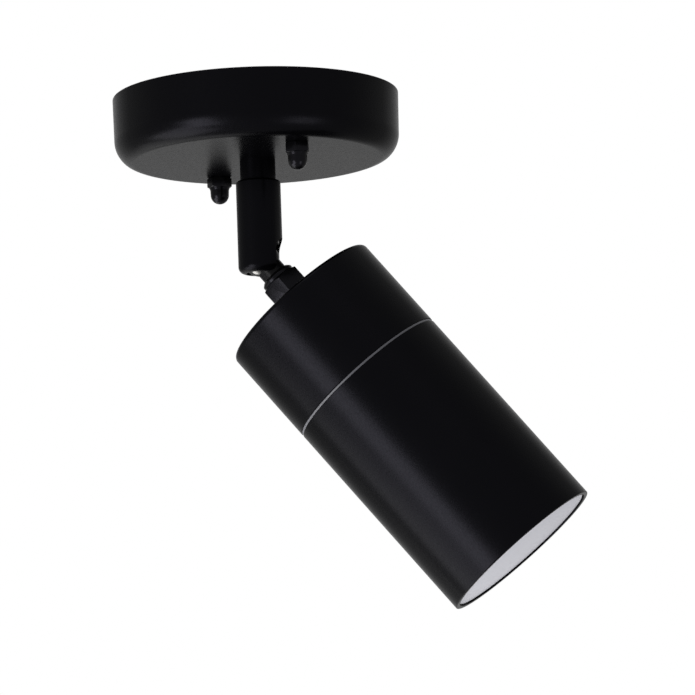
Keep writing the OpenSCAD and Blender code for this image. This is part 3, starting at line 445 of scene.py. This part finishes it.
def makeCanopy():
    inner = canopyOutline(canopy["wall"], 0.05)
    floor = canopy["wall"] - canopy["height"]
    hole = canopy["neckHole"]
    outline = canopyOutline(0, canopy["rim"]) + [(hole, -canopy["height"]), (hole, floor)] + inner[::-1]
    shell = turnPiece("canopyShell", outline, sides=192)
    for side in (-1, 1):
        drillHole(shell, canopy["studHole"], 8, (side * canopy["studPlace"], 0, floor))
    finish(shell, blackCoat, "canopy_mount", "canopy")


capNut = {"flats": 7.6, "chamfer": 0.5, "hexHeight": 3.6, "height": 9.5, "shoulder": 3.6, "cone": 0.8,
          "dome": 3.25, "bore": 2.05, "depth": 6.3}


def makeHexagon(name, top, bottom, flats, chamfer, turn):
    # A hexagon prism with its corners turned off at both ends, between two heights
    corner = flats / math.cos(math.radians(30)) / 2
    clearSelection()
    bpy.ops.mesh.primitive_cylinder_add(vertices=6, radius=corner * mm, depth=(top - bottom) * mm,
                                        location=(0, 0, (top + bottom) / 2 * mm),
                                        rotation=(0, 0, math.radians(turn + 30)))
    prism = nameLatest(name)
    applyPlace(prism)
    waist = turnPiece("cornerTurning", [(flats / 2 - 0.05, top), (corner + 0.1, top - chamfer),
                                        (corner + 0.1, bottom + chamfer), (flats / 2 - 0.05, bottom)],
                      sides=96, closed=False)
    cutWith(prism, waist, "INTERSECT")
    return prism


def makeCapNuts():
    # A hexagon foot, a short cone and a round dome
    under = -canopy["height"]
    foot = under - capNut["hexHeight"]
    domeMiddle = under - capNut["height"] + capNut["dome"]
    for side, turn in ((-1, 0), (1, 30)):
        name = "capNutLeft" if side < 0 else "capNutRight"
        nut = makeHexagon(name, under, foot, capNut["flats"], capNut["chamfer"], turn)
        outline = ([(capNut["shoulder"], foot + 0.3), (capNut["shoulder"], foot - 0.2),
                    (capNut["dome"] + 0.1, foot - capNut["cone"])]
                   + roundCorner(0, domeMiddle, capNut["dome"], 0, -86, 14))
        dome = turnPiece("nutDome", outline, sides=64, closed=False)
        cutWith(nut, dome, "UNION")
        drillHole(nut, capNut["bore"], 2 * capNut["depth"], (0, 0, under))
        softenEdges(nut, 0.12, 2, 24)
        finish(nut, glossCoat, "canopy_mount", *(["cap_nuts"] if side > 0 else []),
               place=Matrix.Translation((side * canopy["studPlace"] * mm, 0, 0)))


bracket = {"width": 16.0, "thick": 1.5, "end": 38.75, "step": 27.25, "flat": 24.05, "drop": 3.2,
           "slotPlace": 18.0, "slotLength": 9.5, "slotWidth": 4.6,
           "tab": (24.0, 4.0, -29.0), "ear": (12.0, -4.0, 18.8), "studHole": 2.05,
           "blockHole": (0, -20.5, 1.55), "earthHole": (0, 14, 2.05)}


def makeBracket():
    # A flat strap whose ends step down, with a tab for the terminal block and an ear for the earth screw
    half = bracket["thick"] / 2
    clearSelection()
    bpy.ops.mesh.primitive_plane_add(size=1, location=(0, 0, -half * mm))
    strap = nameLatest("bracketStrap")
    strap.scale = (2 * bracket["end"] * mm, bracket["width"] * mm, 1)
    applyPlace(strap)
    bpy.ops.object.mode_set(mode="EDIT")
    for place in (-bracket["step"], -bracket["flat"], bracket["flat"], bracket["step"]):
        bpy.ops.mesh.select_all(action="SELECT")
        bpy.ops.mesh.bisect(plane_co=(place * mm, 0, 0), plane_no=(1, 0, 0))
    bpy.ops.mesh.select_all(action="DESELECT")
    bpy.ops.object.mode_set(mode="OBJECT")
    for vertex in strap.data.vertices:
        vertex.select = abs(vertex.co.x) > (bracket["step"] - 0.1) * mm
    bpy.ops.object.mode_set(mode="EDIT")
    bpy.ops.transform.translate(value=(0, 0, -bracket["drop"] * mm))
    bpy.ops.object.mode_set(mode="OBJECT")
    useModifier(strap, "SOLIDIFY", thickness=bracket["thick"] * mm, offset=0.0, use_even_offset=True)
    for wide, near, far in (bracket["tab"], bracket["ear"]):
        size = (wide, abs(far - near), bracket["thick"])
        plate = makeBox("bracketPlate", size, (0, (near + far) / 2, -half))
        cutWith(strap, plate, "UNION")
    run = bracket["slotLength"] - bracket["slotWidth"]
    for x in (-bracket["slotPlace"], bracket["slotPlace"]):
        for shift in (-run / 2, run / 2):
            drillHole(strap, bracket["slotWidth"] / 2, 8, (x + shift, 0, 0), 40)
        cutWith(strap, makeBox("screwSlot", (run, bracket["slotWidth"] - 0.01, 8), (x, 0, 0)))
    studs = [(side * canopy["studPlace"], 0, bracket["studHole"]) for side in (-1, 1)]
    for x, y, radius in studs + [bracket["blockHole"], bracket["earthHole"]]:
        drillHole(strap, radius, 14, (x, y, 0))
    softenEdges(strap, 0.2, 2, 30)
    # The bevel lifts the tab's inner corners a little past the ceiling, so they are pressed flat
    bpy.ops.object.mode_set(mode="EDIT")
    bpy.ops.mesh.select_all(action="DESELECT")
    bpy.ops.object.mode_set(mode="OBJECT")
    for vertex in strap.data.vertices:
        vertex.select = vertex.co.z > 0
    bpy.ops.object.mode_set(mode="EDIT")
    bpy.ops.transform.resize(value=(1, 1, 0), center_override=(0, 0, 0))
    bpy.ops.object.mode_set(mode="OBJECT")
    finish(strap, zincSteel, "canopy_mount", "mounting_bracket")


terminal = {"width": 20.0, "length": 15.0, "height": 12.0, "near": -13.0, "top": -1.5, "pitch": 10.0,
            "way": 2.65, "clampScrew": 2.0, "endNotch": 1.4, "fixingHole": 1.7, "fixingHead": 3.1}


def makeTerminalBlock():
    # A rounded box, notched at both ends between its two ways and bored for the clamps and their screws
    middleY = terminal["near"] - terminal["length"] / 2
    middleZ = terminal["top"] - terminal["height"] / 2
    block = makeBox("terminalBlock", (terminal["width"], terminal["length"], terminal["height"]),
                    (0, middleY, middleZ))
    useModifier(block, "BEVEL", width=1.0 * mm, segments=4, limit_method="ANGLE")
    for y in (terminal["near"], terminal["near"] - terminal["length"]):
        drillHole(block, terminal["endNotch"], 20, (0, y, middleZ))
    for side in (-1, 1):
        x = side * terminal["pitch"] / 2
        drillHole(block, terminal["way"], 20, (x, middleY, middleZ), 40, (math.radians(90), 0, 0))
        for share in (0.25, 0.75):
            y = terminal["near"] - share * terminal["length"]
            drillHole(block, terminal["clampScrew"], 8, (x, y, middleZ - 4))
    drillHole(block, terminal["fixingHole"], 30, (0, middleY, middleZ), 40)
    drillHole(block, terminal["fixingHead"], 5.2, (0, middleY, terminal["top"] - terminal["height"]), 40)
    softenEdges(block, 0.15, 2, 40)
    finish(block, whitePlastic, "canopy_mount", "terminal_block")


# Neck and knuckle

neck = {"radius": 6.2, "thread": 5.0, "core": 4.65, "pitch": 0.75, "ridge": 0.34, "bore": 3.5,
        "top": -15.7, "under": -22.8, "shoulder": -30.1, "spigot": 4.6, "end": -37.2,
        "grooveTop": -35.15, "grooveEnd": -36.25, "groove": 4.1}


def wrapThread(name, radius, pitch, top, bottom, depth, sides=64):
    # A three-sided ridge drawn round and down by the Screw modifier
    clearSelection()
    bpy.ops.mesh.primitive_circle_add(vertices=3, radius=depth * mm, rotation=(math.radians(90), 0, 0),
                                      location=((radius - depth) * mm, 0, (top - pitch / 2) * mm))
    ridge = nameLatest(name)
    bpy.ops.object.transform_apply(location=False, rotation=True, scale=False)
    bpy.ops.object.mode_set(mode="EDIT")
    bpy.ops.mesh.select_all(action="SELECT")
    bpy.ops.transform.rotate(value=math.radians(-90), orient_axis="Y",
                             center_override=((radius - depth) * mm, 0, (top - pitch / 2) * mm))
    bpy.ops.object.mode_set(mode="OBJECT")
    applyPlace(ridge)
    useModifier(ridge, "SCREW", iterations=int((top - bottom) / pitch) - 1, screw_offset=-pitch * mm,
                steps=sides, render_steps=sides, use_normal_calculate=True)
    return ridge


def joinInto(piece, other):
    clearSelection()
    other.select_set(True)
    piece.select_set(True)
    bpy.context.view_layer.objects.active = piece
    bpy.ops.object.join()


def makeNeck():
    under, shoulder, end = neck["under"], neck["shoulder"], neck["end"]
    radius, core, spigot = neck["radius"], neck["core"], neck["spigot"]
    outline = [(neck["bore"], neck["top"]), (core - 0.15, neck["top"]), (core, neck["top"] - 0.2),
               (core, under), (radius, under), (radius, shoulder + 0.05), (radius - 0.05, shoulder),
               (spigot, shoulder), (spigot, neck["grooveTop"]), (neck["groove"], neck["grooveTop"]),
               (neck["groove"], neck["grooveEnd"]), (spigot, neck["grooveEnd"]), (spigot, end + 0.2),
               (spigot - 0.2, end), (neck["bore"], end)]
    stem = turnPiece("neckStem", outline, sides=96)
    joinInto(stem, wrapThread("neckThread", neck["thread"], neck["pitch"], neck["top"], under,
                              neck["ridge"]))
    finish(stem, blackCoat, "canopy_mount", "neck")


knuckle = {"radius": 7.8, "top": -30.2, "bevel": 0.6, "ceiling": -34.2, "bearing": 4.65, "bore": 6.65,
           "seat": 6.55, "end": -62.8, "heel": 2.4, "mouth": 5.1, "slot": 4.9, "slotTop": -50.6}


def makeKnuckle():
    # Turned outside and inside, then slotted down one side for the arm
    pivotZ = -hang["pivot"]
    wide = knuckle["radius"] - knuckle["heel"]
    lip = math.degrees(math.acos(knuckle["mouth"] / knuckle["seat"]))
    outline = ([(knuckle["bearing"], knuckle["top"]),
                (knuckle["radius"] - knuckle["bevel"], knuckle["top"]),
                (knuckle["radius"], knuckle["top"] - knuckle["bevel"])]
               + roundCorner(wide, knuckle["end"] + knuckle["heel"], knuckle["heel"], 0, -90, 12)
               + [(knuckle["mouth"], knuckle["end"])]
               + roundCorner(0, pivotZ, knuckle["seat"], -lip, 0, 10)
               + [(knuckle["bore"], pivotZ), (knuckle["bore"], knuckle["ceiling"]),
                  (knuckle["bearing"], knuckle["ceiling"])])
    body = turnPiece("knuckleBody", outline, sides=144)
    slotMiddle = knuckle["slotTop"] - knuckle["slot"]
    clearSelection()
    bpy.ops.mesh.primitive_cylinder_add(vertices=72, radius=knuckle["slot"] * mm, depth=16 * mm,
                                        location=(8 * mm, 0, slotMiddle * mm),
                                        rotation=(0, math.radians(90), 0))
    arch = nameLatest("slotArch")
    slotTurn = Matrix.Rotation(math.radians(hang["turn"]), 4, "Z")
    applyPlace(arch, slotTurn)
    cutWith(body, arch)
    gap = makeBox("slotGap", (16, 2 * knuckle["slot"] - 0.002, slotMiddle - knuckle["end"] + 1),
                  (8, 0, (slotMiddle + knuckle["end"] - 1) / 2), slotTurn)
    cutWith(body, gap)
    softenEdges(body, 0.22, 3, 38)
    finish(body, blackCoat, "knuckle_body", "knuckle")


seatSpring = {"turns": 5, "radius": 5.2, "wire": 0.6, "top": -38.1, "bottom": -47.3}


def makeSeatSpring():
    # A round wire drawn into a coil by the Screw modifier
    pitch = (seatSpring["bottom"] - seatSpring["top"]) / seatSpring["turns"]
    clearSelection()
    bpy.ops.mesh.primitive_circle_add(vertices=14, radius=seatSpring["wire"] * mm,
                                      rotation=(math.radians(90), 0, 0),
                                      location=(seatSpring["radius"] * mm, 0, seatSpring["top"] * mm),
                                      fill_type="NGON")
    coil = nameLatest("seatCoil")
    applyPlace(coil)
    useModifier(coil, "SCREW", iterations=seatSpring["turns"], screw_offset=pitch * mm, steps=48,
                render_steps=48, use_normal_calculate=True)
    finish(coil, springSteel, "knuckle_body", "seat_spring", smooth=50)


# Arm and head: these are drawn hanging straight down from the ball's middle, at reaches in mm from it,
# then placed with headPlace

arm = {"ball": 6.5, "shank": 4.6, "thread": 5.0, "threadHole": 5.05, "bore": 3.0, "wireSlot": 2.6,
       "lock": 8.1, "lockEnd": 10.2, "lockRadius": 6.2, "lockBevel": 0.84, "hexStart": 10.4,
       "hexFlats": 13.8, "hexChamfer": 0.7, "end": 31.3}


def makeArm():
    meet = math.degrees(math.acos(arm["shank"] / arm["ball"]))
    thread, end, slot = arm["thread"], arm["end"], arm["wireSlot"]
    outline = (roundCorner(0, 0, arm["ball"], 86, -meet, 30)
               + [(arm["shank"], -arm["lock"]), (thread, -arm["lock"]), (thread, 0.3 - end),
                  (thread - 0.3, -end)])
    stalk = turnPiece("armStalk", outline, sides=96, closed=False)
    # The wires' bore, and the slot above it that lets them stay upright while the arm tilts
    drillHole(stalk, arm["bore"], end + 1, (0, 0, (-end - 1) / 2), 48)
    drillHole(stalk, slot, 8, (0, 0, 4), 48)
    drillHole(stalk, slot, 8, (4, 0, 0), 48, (0, math.radians(90), 0))
    cutWith(stalk, makeBox("wireSlot", (8, 2 * slot - 0.002, 8), (4, 0, 4)))
    softenEdges(stalk, 0.12, 2, 40)
    finish(stalk, armSteel, "head", "ball_arm", place=headPlace)


def makeLockRing():
    hole, r, bevel = arm["threadHole"], arm["lockRadius"], arm["lockBevel"]
    start, end = -arm["lock"], -arm["lockEnd"]
    outline = [(hole, start), (r - bevel, start), (r - 0.1, start + 0.1 - bevel), (r, start - 0.06 - bevel),
               (r, end + 0.15), (r - 0.15, end), (hole, end)]
    ring = turnPiece("lockRing", outline, sides=96)
    finish(ring, glossCoat, "head", "lock_ring", place=headPlace)


def makeHexCoupler():
    coupler = makeHexagon("hexCoupler", -arm["hexStart"], -head["rear"], arm["hexFlats"],
                          arm["hexChamfer"], 30)
    drillHole(coupler, arm["threadHole"], 40, (0, 0, -head["rear"]), 64)
    softenEdges(coupler, 0.18, 3, 24)
    finish(coupler, glossCoat, "head", "hex_coupler", place=headPlace)


head = {"radius": 30.0, "rear": 20.8, "floor": 24.8, "edge": 1.5, "seam": 56.4, "collarEnd": 64.4,
        "collar": 27.95, "collarCore": 27.4, "pitch": 1.5, "ridge": 0.5, "collarBore": 25.85,
        "capBore": 27.0, "step": 2.0, "barrelFrom": 57.4, "barrelBore": 28.0, "front": 137.3,
        "recess": 28.4, "gasketBack": 132.9, "shelf": 26.4, "lensBack": 133.7, "lensFace": 136.7,
        "lens": 28.0, "sealRadius": 29.8, "sealHalf": 0.4, "sealEdge": 0.14}
capBoss = {"places": [(22.84, 0), (-22.84, 0), (0, 16)], "radius": 4.7, "hole": 1.55, "rise": 4.0}


def makeRearCap():
    r, seam, floor, hole = head["radius"], head["seam"], head["floor"], arm["threadHole"]
    core, collarEnd, step = head["collarCore"], head["collarEnd"], head["step"] - seam
    outline = ([(hole, -head["rear"])]
               + roundCorner(r - head["edge"], -head["rear"] - head["edge"], head["edge"], 90, 0, 10)
               + [(r, 0.12 - seam), (r - 0.12, -seam), (core, -seam), (core, 0.3 - collarEnd),
                  (core - 0.3, -collarEnd), (head["collarBore"], -collarEnd),
                  (head["collarBore"], step), (head["capBore"], step), (head["capBore"], -floor),
                  (hole, -floor)])
    cap = turnPiece("rearCap", outline, sides=192)
    for x, y in capBoss["places"]:
        # A boss with a tapped hole, standing on the cap's floor
        wide, bore, top = capBoss["radius"], capBoss["hole"], -floor - capBoss["rise"]
        boss = turnPiece("capBoss", [(bore, 0.5 - floor), (wide, 0.5 - floor), (wide, top + 0.2),
                                     (wide - 0.2, top), (bore, top)], sides=48)
        applyPlace(boss, Matrix.Translation((x * mm, y * mm, 0)))
        cutWith(cap, boss, "UNION")
    joinInto(cap, wrapThread("collarThread", head["collar"], head["pitch"], -seam - 0.2, -collarEnd,
                             head["ridge"], 128))
    finish(cap, blackCoat, "head", "rear_cap", place=headPlace)


def makeFrontBarrel():
    r, start, front = head["radius"], -head["barrelFrom"], head["front"]
    step = head["step"] - head["gasketBack"]
    outline = ([(head["barrelBore"], start), (r - 0.12, start), (r, start - 0.12)]
               + roundCorner(r - 0.3, 0.3 - front, 0.3, 0, -90, 4)
               + roundCorner(head["recess"] + 0.15, 0.15 - front, 0.15, -90, -180, 3)
               + [(head["recess"], -head["gasketBack"]), (head["shelf"], -head["gasketBack"]),
                  (head["shelf"], step), (head["barrelBore"], step)])
    barrel = turnPiece("frontBarrel", outline, sides=192)
    finish(barrel, blackCoat, "barrel", "front_barrel", place=headPlace)


def makeSeamRing():
    # A rubber ring with rounded edges to its outer face
    bore, half, edge = head["barrelBore"], head["sealHalf"], head["sealEdge"]
    middle = (head["seam"] + head["barrelFrom"]) / 2
    r = head["sealRadius"] - edge
    outline = ([(bore, half - middle)] + roundCorner(r, half - edge - middle, edge, 90, 0, 4)
               + roundCorner(r, edge - half - middle, edge, 0, -90, 4) + [(bore, -half - middle)])
    ring = turnPiece("seamRing", outline, sides=192)
    finish(ring, sealRubber, "seal", "seam_seal", place=headPlace)


def makeLens():
    r, back, face = head["lens"], head["lensBack"], head["lensFace"]
    outline = ([(r - 0.2, -back), (r, -back - 0.2)] + roundCorner(r - 0.25, 0.25 - face, 0.25, 0, -90, 4))
    lens = turnPiece("frontLens", outline, sides=160, closed=False)
    finish(lens, lensFrost, "barrel", "lens", place=headPlace)


makeCanopy()
makeCapNuts()
makeBracket()
makeTerminalBlock()
print("canopy pieces made")
makeNeck()
makeKnuckle()
makeSeatSpring()
print("neck and knuckle made")
makeArm()
makeLockRing()
makeHexCoupler()
makeRearCap()
makeFrontBarrel()
makeSeamRing()
makeLens()
print("head made")

# Camera, as it was fitted to the photograph's outlines
camera = {"location": (1.3609286, -0.6307533, -0.3192054), "turn": 65.134, "yaw": 0.01945, "pitch": 0.15173,
          "roll": -0.0351, "lens": 226.433}


def placeCamera():
    turn = Matrix.Rotation(math.radians(camera["turn"]), 3, "Z")
    yaw, pitch, roll = camera["yaw"], camera["pitch"], camera["roll"]
    forward = Vector((math.sin(yaw) * math.cos(pitch), math.cos(yaw) * math.cos(pitch), math.sin(pitch)))
    side = Vector((math.cos(yaw), -math.sin(yaw), 0))
    above = side.cross(forward)
    across = math.cos(roll) * side + math.sin(roll) * above
    upwards = -math.sin(roll) * side + math.cos(roll) * above
    facing = turn @ Matrix((across, upwards, -forward)).transposed()
    bpy.ops.object.camera_add(location=camera["location"], rotation=facing.to_euler())
    view = bpy.context.object
    view.name = "photoCamera"
    view.data.lens = camera["lens"]
    view.data.sensor_width = 36
    view.data.clip_start = 0.01
    scene.camera = view
    return turn


turnToView = placeCamera()


# Studio: a white surround, a pale floor and soft lamps, in metres. A lamp's place is its bearing from the
# camera's side, positive to the right, and its height, both in degrees, at one distance from the object.
studio = {
    "floorDrop": 2.2, "floorSize": 20.0, "floorColour": (0.8, 0.8, 0.8), "floorPaleness": 0.85,
    "surround": 0.32, "away": 2.0, "target": (0.02, 0.0, -0.09),
    "lamps": [
        {"name": "leftLowSoftbox", "bearing": -88, "height": -47, "size": (1.4, 1.2), "power": 44.0},
        {"name": "leftFrontSoftbox", "bearing": -50, "height": -24, "size": (0.8, 1.2), "power": 33.0},
        {"name": "leftBackSoftbox", "bearing": -150, "height": -45, "size": (1.2, 1.2), "power": 15.0},
        {"name": "rightSoftbox", "bearing": 41, "height": -32, "size": (0.75, 0.9), "power": 9.5},
        {"name": "topSoftbox", "bearing": -12, "height": 55, "size": (1.4, 1.2), "power": 9.0},
    ],
}


def backgroundRays(tree, kinds=("Is Glossy Ray", "Is Transmission Ray")):
    # Rays that show the plain white background: those seen in metal and glass, and through it
    path = tree.nodes.new("ShaderNodeLightPath")
    seen = path.outputs[kinds[0]]
    for label in kinds[1:]:
        either = tree.nodes.new("ShaderNodeMath")
        either.operation = "MAXIMUM"
        tree.links.new(seen, either.inputs[0])
        tree.links.new(path.outputs[label], either.inputs[1])
        seen = either.outputs["Value"]
    return seen


def makeWorld():
    world = bpy.data.worlds.new("whiteSurround")
    world.use_nodes = True
    scene.world = world
    tree = world.node_tree
    background = tree.nodes["Background"]
    seen = backgroundRays(tree, ("Is Camera Ray", "Is Glossy Ray", "Is Transmission Ray"))
    strength = tree.nodes.new("ShaderNodeMapRange")
    strength.inputs["To Min"].default_value = studio["surround"]
    strength.inputs["To Max"].default_value = 1.0
    tree.links.new(seen, strength.inputs["Value"])
    background.inputs["Color"].default_value = (1, 1, 1, 1)
    tree.links.new(strength.outputs["Result"], background.inputs["Strength"])


def makeFloor():
    clearSelection()
    bpy.ops.mesh.primitive_plane_add(size=studio["floorSize"], location=(0, 0, -studio["floorDrop"]))
    floor = nameLatest("paleFloor")
    material, tree, shader = newMaterial("paleFloor")
    shader.inputs["Base Color"].default_value = (*studio["floorColour"], 1)
    shader.inputs["Roughness"].default_value = 0.9
    white = tree.nodes.new("ShaderNodeEmission")
    either = tree.nodes.new("ShaderNodeMixShader")
    # The camera sees the floor nearly white too, with a little of the light and shadow on it
    paleness = tree.nodes.new("ShaderNodeMath")
    paleness.operation = "MULTIPLY"
    paleness.inputs[1].default_value = studio["floorPaleness"]
    tree.links.new(backgroundRays(tree, ("Is Camera Ray",)), paleness.inputs[0])
    share = tree.nodes.new("ShaderNodeMath")
    share.operation = "MAXIMUM"
    tree.links.new(backgroundRays(tree), share.inputs[0])
    tree.links.new(paleness.outputs["Value"], share.inputs[1])
    tree.links.new(share.outputs["Value"], either.inputs["Fac"])
    tree.links.new(shader.outputs["BSDF"], either.inputs[1])
    tree.links.new(white.outputs["Emission"], either.inputs[2])
    tree.links.new(either.outputs["Shader"], tree.nodes["Material Output"].inputs["Surface"])
    floor.data.materials.append(material)


def makeLamps():
    target = Vector(studio["target"])
    for settings in studio["lamps"]:
        bearing, height = math.radians(settings["bearing"]), math.radians(settings["height"])
        outwards = Vector((math.sin(bearing) * math.cos(height), -math.cos(bearing) * math.cos(height),
                           math.sin(height)))
        facing = turnToView @ outwards.to_track_quat("Z", "Y").to_matrix()
        bpy.ops.object.light_add(type="AREA", location=turnToView @ (target + outwards * studio["away"]),
                                 rotation=facing.to_euler())
        lamp = bpy.context.object
        lamp.name = settings["name"]
        lamp.data.shape = "RECTANGLE"
        lamp.data.size, lamp.data.size_y = settings["size"]
        lamp.data.energy = settings["power"]
        lamp.visible_camera = False


makeWorld()
makeFloor()
makeLamps()
print("studio made")
